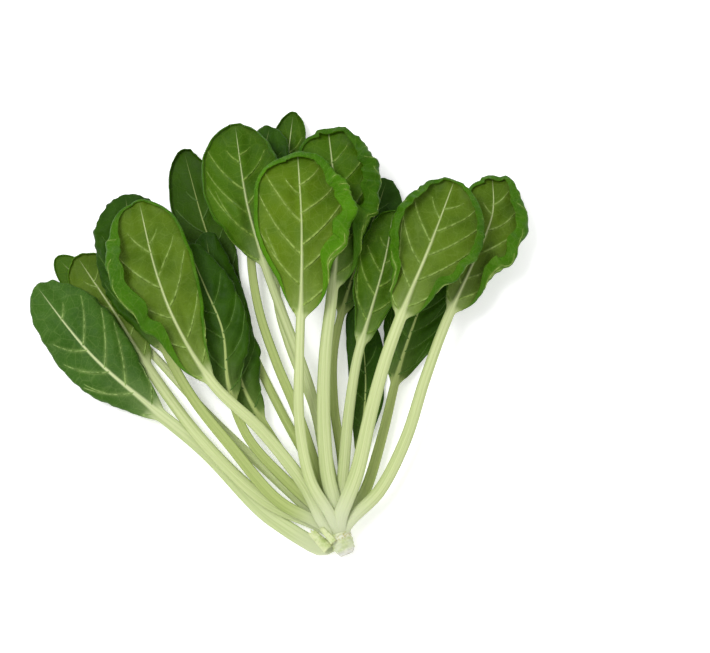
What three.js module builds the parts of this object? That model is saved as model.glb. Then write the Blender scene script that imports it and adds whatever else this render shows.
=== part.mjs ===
// Tatsoi, one long-stemmed head: a rosette of leaves on a short crown, cut off at the root and
// laid on a table with its leaves fanned out. Millimetres, +Z up, the table at z = 0,
// the leaf tips towards +Y. A leaf is one grown piece: its stalk runs on as the midrib of its blade.

import * as THREE from 'three';

// ---------- Driving dimensions ----------
const STALK_REACH = [15, 14, 13, 13, 12]; // from the middle of the crown to the stalks' feet, by tier
const TIER_HEIGHT = [0, 4.9, 9.8, 14.8, 19.7]; // of the undersides of those feet, ring over ring
const STALK_HALF_WIDTH = 4.2;
const STALK_FOOT = 0.68; // width of a stalk's foot and of its end at the blade, as shares of that
const STALK_END = 0.75;
const KEEL = 2.4; // height of the rounded side of a stalk, the underside of the leaf
const CHANNEL = 1.5; // height of its flat side, the upper side of the leaf
const BLADE_THICKNESS = 1.1;
const TIP_ROUNDNESS = 0.5; // power of the outline at the tip: 0.5 is a round end
const CAP_DEPTH = 1.2; // how far the cut foot of a stalk bulges

const CROWN_FOOT = [6, -12, 8.6]; // centre of the root cut
const CROWN_APEX = [-2, 8, 10.6];
const CROWN_PROFILE = [[6, 0], [7.4, 0.1], [8.3, 0.35], [7.6, 0.62], [5.4, 0.86], [2.6, 0.98]];
const CROWN_SIDES = 20;
const STUBS = [
  { name: 'cut_stub_broad', from: [-9.5, -4.5, 12], to: [-15, 1, 12.6], halfWidth: 2.7 },
  { name: 'cut_stub_small', from: [-5, -2, 17.2], to: [-9, 2.5, 17.4], halfWidth: 1.7 },
];
const STUB_TAPER = 0.85; // width of a stub's cut end, as a share of the width at the crown
const STUB_FLATNESS = 0.6;
const STUB_SIDES = 12;

const STALK_STATIONS = [0, 0.1, 0.28, 0.48, 0.68, 0.86]; // shares of the stalk
const BLADE_STATIONS = [0, 0.08, 0.18, 0.3, 0.43, 0.56, 0.68, 0.79, 0.88, 0.95, 0.985]; // of the blade
const SECTION_STEPS = 4; // points from the midrib to each edge of a leaf

const UNDERSIDE_UP = 1; // the edges of such a leaf roll up and over
const UPPER_SIDE_UP = -1; // and of this one down and under

const STALK_GREEN = 0xc9d89c;
const DARK_GREEN = 0x1f4a1c;
const OLIVE_GREEN = 0x6f8f33;
const CROWN_CREAM = 0xe4e8d6;

// ---------- The leaves ----------
// heading: where the stalk leaves the crown, degrees from +Y towards +X. tier: which ring it is in.
// way: points of the midrib after the foot, to the tip. stalk: its share of the whole length.
// spread: half-widths of the opened blade, left and right. rim: how much of each is rolled.
// curl: how far the rims turn. cup: how far the blade between them turns.
// broadest: where each side is widest. stem: thickness of the stalk against the usual one.
const LEAVES = [
  {
    name: 'outer_left_leaf', heading: -112, tier: 0, face: UPPER_SIDE_UP,
    way: [[-31, 5, 3], [-48, 18, 3], [-79, 50, 4.2], [-113, 77, 12.5], [-148, 107, 18], [-183, 150, 18]],
    stalk: 0.52, spread: [24, 28], rim: [4, 4], curl: 0.9, cup: 0.15, broadest: [0.44, 0.62], stem: 1.2,
  },
  {
    name: 'low_left_leaf', heading: -62, tier: 1, face: UNDERSIDE_UP,
    way: [[-44, 21, 9], [-79, 54, 11.5], [-111, 96, 7], [-135, 134, 4.5], [-161, 172, 4.5]],
    stalk: 0.62, spread: [18, 24], rim: [2, 5], curl: 0.8, cup: 0, broadest: [0.6, 0.6], stem: 1,
  },
  {
    name: 'under_left_leaf', heading: -48, tier: 0, face: UNDERSIDE_UP,
    way: [[-37, 34, 1.5], [-76, 71, 1.5], [-114, 112, 1.5], [-144, 143, 1.5], [-174, 172, 1.5]],
    stalk: 0.66, spread: [14, 14], rim: [2, 2], curl: 0.3, cup: 0, broadest: [0.6, 0.6], stem: 0.75,
  },
  {
    name: 'back_left_leaf', heading: -60, tier: 2, face: UPPER_SIDE_UP,
    way: [[-36, 20, 15], [-62, 50, 17], [-88, 83, 18], [-108, 121, 20], [-122, 163, 22], [-130, 207, 21]],
    stalk: 0.56, spread: [26, 27], rim: [4, 4], curl: 0.8, cup: 0.25, broadest: [0.62, 0.62], stem: 0.9,
  },
  {
    name: 'top_left_leaf', heading: -46, tier: 3, face: UNDERSIDE_UP,
    way: [[-20, 29, 20], [-44, 58, 29], [-71, 83, 36], [-91, 113, 41], [-106, 148, 44], [-119, 197, 41]],
    stalk: 0.44, spread: [34, 25], rim: [8, 3], curl: 1.3, cup: 0.12, broadest: [0.6, 0.6], stem: 1,
  },
  {
    name: 'dark_left_leaf', heading: -34, tier: 2, face: UPPER_SIDE_UP,
    way: [[-28, 29, 15], [-52, 55, 20], [-64, 85, 24], [-68, 118, 28], [-79, 145, 30], [-91, 173, 30]],
    stalk: 0.47, spread: [16, 18], rim: [3, 4], curl: 0.8, cup: 0.3, broadest: [0.55, 0.55], stem: 0.8,
  },
  {
    name: 'inner_left_leaf', heading: -40, tier: 1, face: UPPER_SIDE_UP,
    way: [[-22, 32, 8], [-41, 61, 11], [-56, 87, 14], [-65, 119, 17], [-74, 149, 18], [-81, 184, 18]],
    stalk: 0.36, spread: [16, 20], rim: [3, 4], curl: 0.8, cup: 0.3, broadest: [0.55, 0.55], stem: 0.8,
  },
  {
    name: 'curled_left_leaf', heading: -28, tier: 0, face: UNDERSIDE_UP,
    way: [[-17, 43, 2], [-33, 73, 2], [-50, 108, 2], [-65, 148, 2], [-82, 190, 3], [-97, 242, 4]],
    stalk: 0.5, spread: [20, 18], rim: [3, 3], curl: 0.8, cup: 0.1, broadest: [0.62, 0.62], stem: 0.75,
  },
  {
    name: 'upper_left_leaf', heading: 2, tier: 1, face: UNDERSIDE_UP,
    way: [[-5, 41, 9], [-12, 71, 12], [-21, 100, 17], [-33, 131, 23], [-45, 164, 28], [-55, 199, 32], [-63, 249, 31]],
    stalk: 0.62, spread: [28, 28], rim: [5, 6], curl: 1.1, cup: 0.12, broadest: [0.58, 0.58], stem: 0.85,
  },
  {
    name: 'back_middle_leaf', heading: -20, tier: 1, face: UPPER_SIDE_UP,
    way: [[-14, 44, 8], [-24, 73, 9], [-37, 104, 10], [-48, 137, 12], [-53, 173, 14], [-50, 212, 16], [-42, 253, 16]],
    stalk: 0.7, spread: [18, 18], rim: [3, 3], curl: 0.8, cup: 0.2, broadest: [0.6, 0.6], stem: 0.8,
  },
  {
    name: 'far_middle_leaf', heading: -8, tier: 0, face: UNDERSIDE_UP,
    way: [[-7, 42, 2], [-14, 77, 2], [-28, 112, 2], [-37, 144, 3], [-38, 182, 4], [-33, 221, 5], [-28, 266, 6]],
    stalk: 0.74, spread: [14, 14], rim: [2, 2], curl: 0.8, cup: 0.1, broadest: [0.62, 0.62], stem: 0.75,
  },
  {
    name: 'front_middle_leaf', heading: -22, tier: 4, face: UNDERSIDE_UP,
    way: [[-16, 31, 26], [-22, 64, 31], [-22, 101, 38], [-21, 139, 44], [-21, 178, 48], [-24, 226, 45]],
    stalk: 0.52, spread: [30, 34], rim: [4, 9], curl: 1.3, cup: 0.12, broadest: [0.58, 0.58], stem: 0.85,
  },
  {
    name: 'middle_right_leaf', heading: -2, tier: 3, face: UNDERSIDE_UP,
    way: [[-6, 37, 18], [-8, 71, 21], [-7, 106, 25], [-3, 142, 30], [0, 185, 34], [-6, 246, 33]],
    stalk: 0.55, spread: [24, 32], rim: [4, 7], curl: 1.2, cup: 0.12, broadest: [0.64, 0.64], stem: 1.1,
  },
  {
    name: 'back_right_leaf', heading: 12, tier: 0, face: UPPER_SIDE_UP,
    way: [[3, 43, 4], [-2, 78, 6], [-2, 112, 8], [6, 147, 10], [18, 181, 11], [31, 221, 10]],
    stalk: 0.6, spread: [18, 18], rim: [3, 3], curl: 0.8, cup: 0.25, broadest: [0.6, 0.6], stem: 0.75,
  },
  {
    name: 'slim_right_leaf', heading: 8, tier: 2, face: UNDERSIDE_UP,
    way: [[4, 40, 14], [7, 72, 16], [12, 104, 19], [21, 135, 22], [29, 165, 24], [34, 196, 23]],
    stalk: 0.66, spread: [14, 16], rim: [3, 3], curl: 0.8, cup: 0.1, broadest: [0.6, 0.6], stem: 0.9,
  },
  {
    name: 'heart_leaf', heading: 34, tier: 0, face: UPPER_SIDE_UP,
    way: [[12, 40, 3.4], [15, 63, 5], [17, 91, 6], [15, 118, 7], [9, 140, 7]],
    stalk: 0.3, spread: [12, 12], rim: [2, 2], curl: 0.8, cup: 0.3, broadest: [0.6, 0.6], stem: 0.65,
  },
  {
    name: 'top_right_leaf', heading: 14, tier: 4, face: UNDERSIDE_UP,
    way: [[12, 35, 26], [20, 69, 31], [29, 101, 35], [41, 133, 39], [55, 167, 41], [71, 211, 37]],
    stalk: 0.55, spread: [29, 31], rim: [6, 6], curl: 1.2, cup: 0.12, broadest: [0.6, 0.6], stem: 1.1,
  },
  {
    name: 'outer_right_leaf', heading: 46, tier: 3, face: UNDERSIDE_UP,
    way: [[26, 26, 17], [41, 56, 19], [52, 90, 22], [65, 125, 24], [81, 160, 23], [94, 192, 21], [95, 221, 17]],
    stalk: 0.58, spread: [24, 26], rim: [5, 6], curl: 1.2, cup: 0.12, broadest: [0.6, 0.6], stem: 0.95,
  },
  {
    name: 'low_right_leaf', heading: 36, tier: 1, face: UPPER_SIDE_UP,
    way: [[18, 29, 9], [28, 63, 9], [36, 96, 8], [46, 127, 7], [57, 156, 6], [66, 184, 5]],
    stalk: 0.45, spread: [20, 20], rim: [2, 2], curl: 0.8, cup: 0.2, broadest: [0.55, 0.55], stem: 0.85,
  },
];

// ---------- Shaping ----------
const FOOT_TAPER = 6; // power by which a stalk widens above its foot
const MIDRIB_END = 0.8; // power by which the midrib tapers off towards the tip
const RIB_HEIGHT_END = 0.7; // and by which its height does
const OPENING = 1.5; // blade widths, in stalk widths, over which a stalk opens into a blade
const MIDDLE_SHARE = 0.6; // where the third point of the section lies, between midrib and rim

// A straight piece of sheet that turns evenly from one angle to another, seen in section.
function turnedStrip(length, from, to) {
  const turn = to - from;
  if (Math.abs(turn) < 1e-6) {
    return [length * Math.cos(from), length * Math.sin(from)];
  }
  return [
    (length / turn) * (Math.sin(to) - Math.sin(from)),
    (length / turn) * (Math.cos(from) - Math.cos(to)),
  ];
}

// Half-width of a blade at a share of its length, as a share of its greatest half-width.
function bladeOutline(share, broadest) {
  const base = (TIP_ROUNDNESS * broadest) / (1 - broadest);
  const height = (u) => Math.pow(u, base) * Math.pow(1 - u, TIP_ROUNDNESS);
  return height(share) / height(broadest);
}

// Half-width of the stalk or midrib, and of the leaf on one side, at a share of the whole length.
function widthsAt(leaf, along, side) {
  const stem = STALK_HALF_WIDTH * leaf.stem;
  if (along <= leaf.stalk) {
    const up = along / leaf.stalk;
    const foot = (1 - STALK_FOOT) * Math.pow(1 - up, FOOT_TAPER);
    const width = stem * (1 - foot) * (1 - (1 - STALK_END) * up);
    return { rib: width, edge: width, opened: 0, blade: 0 };
  }
  const blade = (along - leaf.stalk) / (1 - leaf.stalk);
  const rib = STALK_END * stem * Math.pow(1 - blade, MIDRIB_END);
  const outline = leaf.spread[side] * bladeOutline(blade, leaf.broadest[side]);
  const edge = Math.pow(Math.pow(rib, 4) + Math.pow(outline, 4), 0.25);
  const opened = THREE.MathUtils.clamp((edge / Math.max(rib, 0.01) - 1) / OPENING, 0, 1);
  return { rib, edge, opened, blade };
}

// One side of a section, from the midrib outwards: places of the sheet's middle and their normals.
function halfSection(leaf, along, side) {
  const { rib, edge, opened, blade } = widthsAt(leaf, along, side);
  const rim = Math.min(leaf.rim[side], 0.4 * edge) * opened;
  const inner = edge - rim;
  const cup = leaf.cup * opened;
  const curl = leaf.curl * opened;
  const points = [];
  for (let step = 0; step <= SECTION_STEPS; step++) {
    const round = edge * Math.sin((step / SECTION_STEPS) * (Math.PI / 2));
    const open = [0, rib, Math.max(rib, MIDDLE_SHARE * inner), inner, edge][step];
    const reach = THREE.MathUtils.lerp(round, Math.max(open, rib * (step / SECTION_STEPS)), opened);
    const flat = Math.min(reach, inner);
    const [flatSide, flatUp] = turnedStrip(flat, 0, (cup * flat) / inner);
    const [rimSide, rimUp] = turnedStrip(reach - flat, cup, cup + curl);
    const angle = reach > inner ? cup + curl : (cup * flat) / inner;
    points.push({
      out: flatSide + rimSide,
      up: flatUp + rimUp,
      angle,
      keel: thickness(KEEL, rib, reach, edge, opened, blade, step),
      channel: thickness(CHANNEL, rib, reach, edge, opened, blade, step),
    });
  }
  return points;
}

// How far one face stands off the middle of the sheet. The stalk is rounded, the blade is even.
function thickness(height, rib, reach, edge, opened, blade, step) {
  if (step === SECTION_STEPS) {
    return 0;
  }
  const across = reach / edge;
  const flatShare = height === CHANNEL ? 0.75 : 0;
  const slope = Math.max(0, (across - flatShare) / (1 - flatShare));
  const stalk = height * Math.sqrt(1 - slope * slope);
  const ridge = Math.max(0, 1 - reach / (1.4 * Math.max(rib, 0.01)));
  const ribHeight = height * Math.pow(1 - blade, RIB_HEIGHT_END);
  const sheet = Math.min(BLADE_THICKNESS / 2, 0.4 * edge) + Math.max(0, ribHeight - BLADE_THICKNESS / 2) * ridge;
  return THREE.MathUtils.lerp(stalk, sheet, opened);
}

// The closed ring of a section, over the top from the left edge to the right one and back below.
function sectionRing(leaf, along) {
  const sides = [halfSection(leaf, along, 0), halfSection(leaf, along, 1)];
  const topFace = leaf.face === UNDERSIDE_UP ? 'keel' : 'channel';
  const lowFace = leaf.face === UNDERSIDE_UP ? 'channel' : 'keel';
  const place = (side, step, faceSign) => {
    const point = sides[side][step];
    const stand = faceSign * point[faceSign > 0 ? topFace : lowFace];
    const angle = leaf.face * point.angle;
    const out = point.out - stand * Math.sin(angle);
    return [side === 0 ? -out : out, leaf.face * point.up + stand * Math.cos(angle)];
  };
  const ring = [];
  for (let step = SECTION_STEPS; step > 0; step--) ring.push(place(0, step, 1));
  for (let step = 0; step <= SECTION_STEPS; step++) ring.push(place(1, step, 1));
  for (let step = SECTION_STEPS - 1; step > 0; step--) ring.push(place(1, step, -1));
  for (let step = 0; step < SECTION_STEPS; step++) ring.push(place(0, step, -1));
  return ring;
}

function midribOf(leaf) {
  const heading = THREE.MathUtils.degToRad(leaf.heading);
  const reach = STALK_REACH[leaf.tier];
  const foot = new THREE.Vector3(
    reach * Math.sin(heading),
    reach * Math.cos(heading),
    TIER_HEIGHT[leaf.tier] + (leaf.face === UNDERSIDE_UP ? CHANNEL : KEEL),
  );
  const points = [foot, ...leaf.way.map((point) => new THREE.Vector3(...point))];
  return new THREE.CatmullRomCurve3(points, false, 'catmullrom', 0.5);
}

// A leaf as one closed solid: rings along its midrib, a bulged cap at the foot and a point at the tip.
function leafGeometry(leaf) {
  const midrib = midribOf(leaf);
  const stations = [
    ...STALK_STATIONS.map((share) => share * leaf.stalk),
    ...BLADE_STATIONS.map((share) => leaf.stalk + share * (1 - leaf.stalk)),
  ];
  const positions = [];
  for (const along of stations) {
    const centre = midrib.getPointAt(along);
    const forward = midrib.getTangentAt(along);
    const right = new THREE.Vector3(forward.y, -forward.x, 0).normalize();
    const up = new THREE.Vector3().crossVectors(right, forward);
    for (const [out, rise] of sectionRing(leaf, along)) {
      const point = centre.clone().addScaledVector(right, out).addScaledVector(up, rise);
      positions.push(point.x, point.y, point.z);
    }
  }
  const ringSize = 4 * SECTION_STEPS;
  const foot = midrib.getPointAt(0).addScaledVector(midrib.getTangentAt(0), -CAP_DEPTH);
  const tip = midrib.getPointAt(1);
  const footIndex = positions.length / 3;
  positions.push(foot.x, foot.y, foot.z, tip.x, tip.y, tip.z);

  const index = [];
  const lastRing = (stations.length - 1) * ringSize;
  for (let corner = 0; corner < ringSize; corner++) {
    const next = (corner + 1) % ringSize;
    index.push(footIndex, next, corner);
    for (let ring = 0; ring < lastRing; ring += ringSize) {
      index.push(ring + corner, ring + next, ring + ringSize + next);
      index.push(ring + corner, ring + ringSize + next, ring + ringSize + corner);
    }
    index.push(footIndex + 1, lastRing + corner, lastRing + next);
  }
  const geometry = new THREE.BufferGeometry();
  geometry.setAttribute('position', new THREE.Float32BufferAttribute(positions, 3));
  geometry.setIndex(index);
  geometry.computeVertexNormals();
  return geometry;
}

// The crown: a short stump, turned on an axis that lies along the table.
function crownMesh() {
  const foot = new THREE.Vector3(...CROWN_FOOT);
  const axis = new THREE.Vector3(...CROWN_APEX).sub(foot);
  const length = axis.length();
  const outline = CROWN_PROFILE.map(([radius, share]) => new THREE.Vector2(radius, share * length));
  const profile = [new THREE.Vector2(0, 0), ...outline, new THREE.Vector2(0, length)];
  const mesh = meshOf('crown', new THREE.LatheGeometry(profile, CROWN_SIDES), CROWN_CREAM);
  mesh.position.copy(foot);
  mesh.quaternion.setFromUnitVectors(new THREE.Vector3(0, 1, 0), axis.normalize());
  return mesh;
}

// What is left of a leaf that was cut away: a short flattened length of its stalk.
function stubMesh(stub) {
  const from = new THREE.Vector3(...stub.from);
  const to = new THREE.Vector3(...stub.to);
  const length = from.distanceTo(to);
  const endWidth = STUB_TAPER * stub.halfWidth;
  const geometry = new THREE.CylinderGeometry(endWidth, stub.halfWidth, length, STUB_SIDES);
  geometry.scale(1, 1, STUB_FLATNESS);
  const mesh = meshOf(stub.name, geometry, STALK_GREEN);
  mesh.position.lerpVectors(from, to, 0.5);
  mesh.quaternion.setFromUnitVectors(new THREE.Vector3(0, 1, 0), to.sub(from).normalize());
  return mesh;
}

function meshOf(name, geometry, color) {
  const material = new THREE.MeshStandardMaterial({ color, roughness: 0.5, metalness: 0 });
  const mesh = new THREE.Mesh(geometry, material);
  mesh.name = name;
  return mesh;
}

// ---------- Assembly ----------
const head = new THREE.Group();
head.add(crownMesh());
for (const stub of STUBS) head.add(stubMesh(stub));
for (const leaf of LEAVES) {
  const color = leaf.face === UNDERSIDE_UP ? OLIVE_GREEN : DARK_GREEN;
  head.add(meshOf(leaf.name, leafGeometry(leaf), color));
}

// The origin is the middle of the head's outline on the table.
const bounds = new THREE.Box3().setFromObject(head, true);
const middle = bounds.getCenter(new THREE.Vector3());
head.position.set(-middle.x, -middle.y, -bounds.min.z);

const tatsoi = new THREE.Group();
tatsoi.add(head);
export default tatsoi;
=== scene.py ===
"""A tatsoi head, cut at the root and lying on a table with its leaves fanned out."""

import logging
import math
from dataclasses import dataclass, field
from enum import Enum

import bpy
import numpy as np
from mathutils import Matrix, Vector


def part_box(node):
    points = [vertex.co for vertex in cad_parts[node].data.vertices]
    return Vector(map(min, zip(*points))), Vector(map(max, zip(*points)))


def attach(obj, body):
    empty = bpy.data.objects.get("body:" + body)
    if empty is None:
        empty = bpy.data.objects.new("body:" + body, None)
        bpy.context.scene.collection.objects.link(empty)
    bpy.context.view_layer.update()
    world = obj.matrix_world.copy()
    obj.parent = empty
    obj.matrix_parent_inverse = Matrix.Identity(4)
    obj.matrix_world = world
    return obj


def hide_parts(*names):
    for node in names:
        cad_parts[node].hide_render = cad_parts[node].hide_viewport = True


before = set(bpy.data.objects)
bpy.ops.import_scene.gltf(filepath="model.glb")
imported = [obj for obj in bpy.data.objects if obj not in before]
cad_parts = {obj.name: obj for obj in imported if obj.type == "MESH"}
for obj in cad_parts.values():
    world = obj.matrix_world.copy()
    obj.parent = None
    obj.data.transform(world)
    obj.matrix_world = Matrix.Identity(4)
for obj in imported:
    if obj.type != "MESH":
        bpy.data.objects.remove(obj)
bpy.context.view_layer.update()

LOG = logging.getLogger("tatsoi")
MM = 0.001
ROOT = "root"


# ---------------------------------------------------------------- sizes shared by all leaves

@dataclass(frozen=True)
class StalkSizes:
    """Sizes that every stalk and midrib shares, in millimetres."""

    half_width: float = 4.2
    foot_share: float = 0.95
    end_share: float = 0.75
    foot_taper: float = 6.0
    keel: float = 2.4
    channel: float = 1.5
    reach: tuple[float, ...] = (15, 14, 13, 13, 12)
    tier_height: tuple[float, ...] = (0, 4.9, 9.8, 14.8, 19.7)
    into_crown: float = 0.92
    core: tuple[float, float, float] = (1.5, -1.5, 8.0)
    core_spread: float = 0.3


@dataclass(frozen=True)
class BladeSizes:
    """Sizes that every blade shares: millimetres, or shares of another size."""

    sheet: float = 0.7
    tip_roundness: float = 0.5
    midrib_end: float = 0.8
    opening: float = 1.5
    fold_share: float = 0.5
    vein_height: float = 0.12
    vein_width: float = 0.84
    rib_share: float = 0.42
    over_table: float = 0.5
    rib_fall: float = 0.13
    base_round: float = 0.35
    base_slim: float = 0.25


STALK = StalkSizes()
BLADE = BladeSizes()
ACROSS = 32
STALK_ROWS = 30
BLADE_ROWS = 118
VEIN_SIDES = 6
FAR_INSIDE = 99.0
FLOOR_DEPTH = 0.0003
FLOOR_GLOW = 0.35


class Face(Enum):
    """Which face of a leaf looks up; its edges roll towards the underside."""

    UNDERSIDE_UP = 1
    UPPER_SIDE_UP = -1


# ---------------------------------------------------------------- finishes

def linear(code: str) -> tuple[float, float, float, float]:
    """Turns an sRGB hex colour into a linear one.

    Args:
        code: six hex digits.

    Returns:
        Linear red, green, blue and an alpha of 1.
    """
    parts = [int(code[i:i + 2], 16) / 255 for i in (0, 2, 4)]
    values = [v / 12.92 if v <= 0.04045 else ((v + 0.055) / 1.055) ** 2.4 for v in parts]
    return (values[0], values[1], values[2], 1.0)


@dataclass(frozen=True)
class LeafFinish:
    """Colours of one kind of leaf, as sRGB hex."""

    name: str
    under: str
    under_dark: str
    upper: str
    upper_dark: str
    vein: str
    stalk: str = "D6DFB0"
    # the stalk's streak colour, also used as painted shade on the stalk's sides
    stalk_streak_and_shade: str = "A9BB78"
    foot: str = "C6CEA8"


BRIGHT = LeafFinish("leaf_bright", "5E780E", "426206", "4C8000", "305C00", "92AA50", "C6D098", "8FA458")
OLIVE = LeafFinish("leaf_olive", "5A7416", "405C0A", "406E00", "2A5400", "88A24C", "C4CE96", "8AA054")
DEEP = LeafFinish("leaf_deep", "446800", "305200", "386200", "244C00", "7C983A", "C2CC96", "8AA054")
SHADED = LeafFinish("leaf_shaded", "385A00", "264400", "2E5200", "1C3C00", "4A6C20", "AAB872", "748A3C")
# painted sheen: this finish's greyer, bluer greens paint the leaf's sheen into its colour; its shader is no
# glossier than the other leaves'
PAINTED_SHEEN = LeafFinish("leaf_painted_sheen", "4C6E1C", "3A5C10", "40661C", "2C5010", "8EA85C", "C8D29E", "90A660")


def node(tree: bpy.types.NodeTree, kind: str, **settings: object) -> bpy.types.Node:
    """Adds a node to a tree.

    Args:
        tree: the node tree.
        kind: the node's type name.
        settings: attributes, or inputs where the key starts with "in_" and a number or a name.

    Returns:
        The new node.
    """
    made = tree.nodes.new(kind)
    for key, value in settings.items():
        if key.startswith("in_"):
            name = key[3:]
            made.inputs[int(name) if name.isdigit() else name.replace("_", " ")].default_value = value
        else:
            setattr(made, key, value)
    return made


class NodeBook:
    """Short ways to write a material's nodes."""

    def __init__(self, name: str) -> None:
        """Starts an empty node material of that name."""
        self.material = bpy.data.materials.new(name)
        self.material.use_nodes = True
        self.tree = self.material.node_tree
        self.tree.nodes.clear()
        self.shader = node(self.tree, "ShaderNodeBsdfPrincipled")
        out = node(self.tree, "ShaderNodeOutputMaterial")
        self.join(self.shader.outputs[0], out.inputs["Surface"])

    def join(self, source: bpy.types.NodeSocket, target: bpy.types.NodeSocket) -> None:
        """Links an output to an input."""
        self.tree.links.new(source, target)

    def attribute(self, name: str) -> bpy.types.NodeSocket:
        """Reads a number stored on the mesh."""
        return node(self.tree, "ShaderNodeAttribute", attribute_name=name).outputs["Fac"]

    def math(self, operation: str, first: object, second: object = 0.0) -> bpy.types.NodeSocket:
        """Adds a math node on two numbers or sockets.

        Args:
            operation: the node's operation.
            first: a number or an output socket.
            second: a number or an output socket.

        Returns:
            The result's socket.
        """
        made = node(self.tree, "ShaderNodeMath", operation=operation)
        for place, value in enumerate((first, second)):
            if isinstance(value, bpy.types.NodeSocket):
                self.join(value, made.inputs[place])
            else:
                made.inputs[place].default_value = value
        return made.outputs[0]

    def ramp(self, value: bpy.types.NodeSocket, low: float, high: float) -> bpy.types.NodeSocket:
        """Maps a value smoothly from low..high to 0..1, clamped."""
        made = node(self.tree, "ShaderNodeMapRange", interpolation_type="SMOOTHSTEP")
        self.join(value, made.inputs["Value"])
        made.inputs["From Min"].default_value = low
        made.inputs["From Max"].default_value = high
        return made.outputs[0]

    def mix(self, share: object, first: object, second: object, blend: str = "MIX") -> bpy.types.NodeSocket:
        """Mixes two colours.

        Args:
            share: a number or a socket, 0 for the first colour.
            first: a linear colour or a socket.
            second: a linear colour or a socket.
            blend: the blending mode.

        Returns:
            The mixed colour's socket.
        """
        made = node(self.tree, "ShaderNodeMix", data_type="RGBA", blend_type=blend)
        for place, value in ((0, share), (6, first), (7, second)):
            if isinstance(value, bpy.types.NodeSocket):
                self.join(value, made.inputs[place])
            else:
                made.inputs[place].default_value = value
        return made.outputs[2]

    def mapped(self, source: str, scale: tuple[float, float, float]) -> bpy.types.NodeSocket:
        """Coordinates scaled to a pattern's size.

        Args:
            source: "Object" or "UV".
            scale: pattern repeats per metre along each axis.

        Returns:
            The vector's socket.
        """
        place = node(self.tree, "ShaderNodeTexCoord")
        mapping = node(self.tree, "ShaderNodeMapping")
        mapping.inputs["Scale"].default_value = scale
        self.join(place.outputs[source], mapping.inputs["Vector"])
        return mapping.outputs[0]

    def noise(self, vector: bpy.types.NodeSocket, detail: float = 3.0) -> bpy.types.NodeSocket:
        """Smooth noise of one feature per unit of the vector."""
        made = node(self.tree, "ShaderNodeTexNoise", in_Scale=1.0, in_Detail=detail)
        self.join(vector, made.inputs["Vector"])
        return made.outputs["Fac"]

    def cells(self, vector: bpy.types.NodeSocket) -> bpy.types.NodeSocket:
        """Distance to the borders of irregular cells of about one unit."""
        made = node(self.tree, "ShaderNodeTexVoronoi", feature="DISTANCE_TO_EDGE", in_Scale=1.0)
        self.join(vector, made.inputs["Vector"])
        return made.outputs["Distance"]

    def bump(self, height: bpy.types.NodeSocket, depth: float, strength: float = 1.0) -> None:
        """Ends the material's surface with a bump.

        Args:
            height: the height's socket, 0 to 1.
            depth: how far 0 to 1 is, in metres.
            strength: how much of the bump shows.
        """
        made = node(self.tree, "ShaderNodeBump", in_Strength=strength, in_Distance=depth)
        self.join(height, made.inputs["Height"])
        self.join(made.outputs[0], self.shader.inputs["Normal"])

    def surface(self, roughness: float, specular: float, flesh: float,
                depth: tuple[float, float, float]) -> None:
        """Sets the shader's constant sockets.

        Args:
            roughness: of the skin.
            specular: specular level.
            flesh: how much light goes in under the skin.
            depth: how far each colour of light goes there, in millimetres.
        """
        self.shader.inputs["Roughness"].default_value = roughness
        self.shader.inputs["Specular IOR Level"].default_value = specular
        self.shader.inputs["Subsurface Weight"].default_value = flesh
        self.shader.inputs["Subsurface Radius"].default_value = depth
        self.shader.inputs["Subsurface Scale"].default_value = MM


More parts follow.
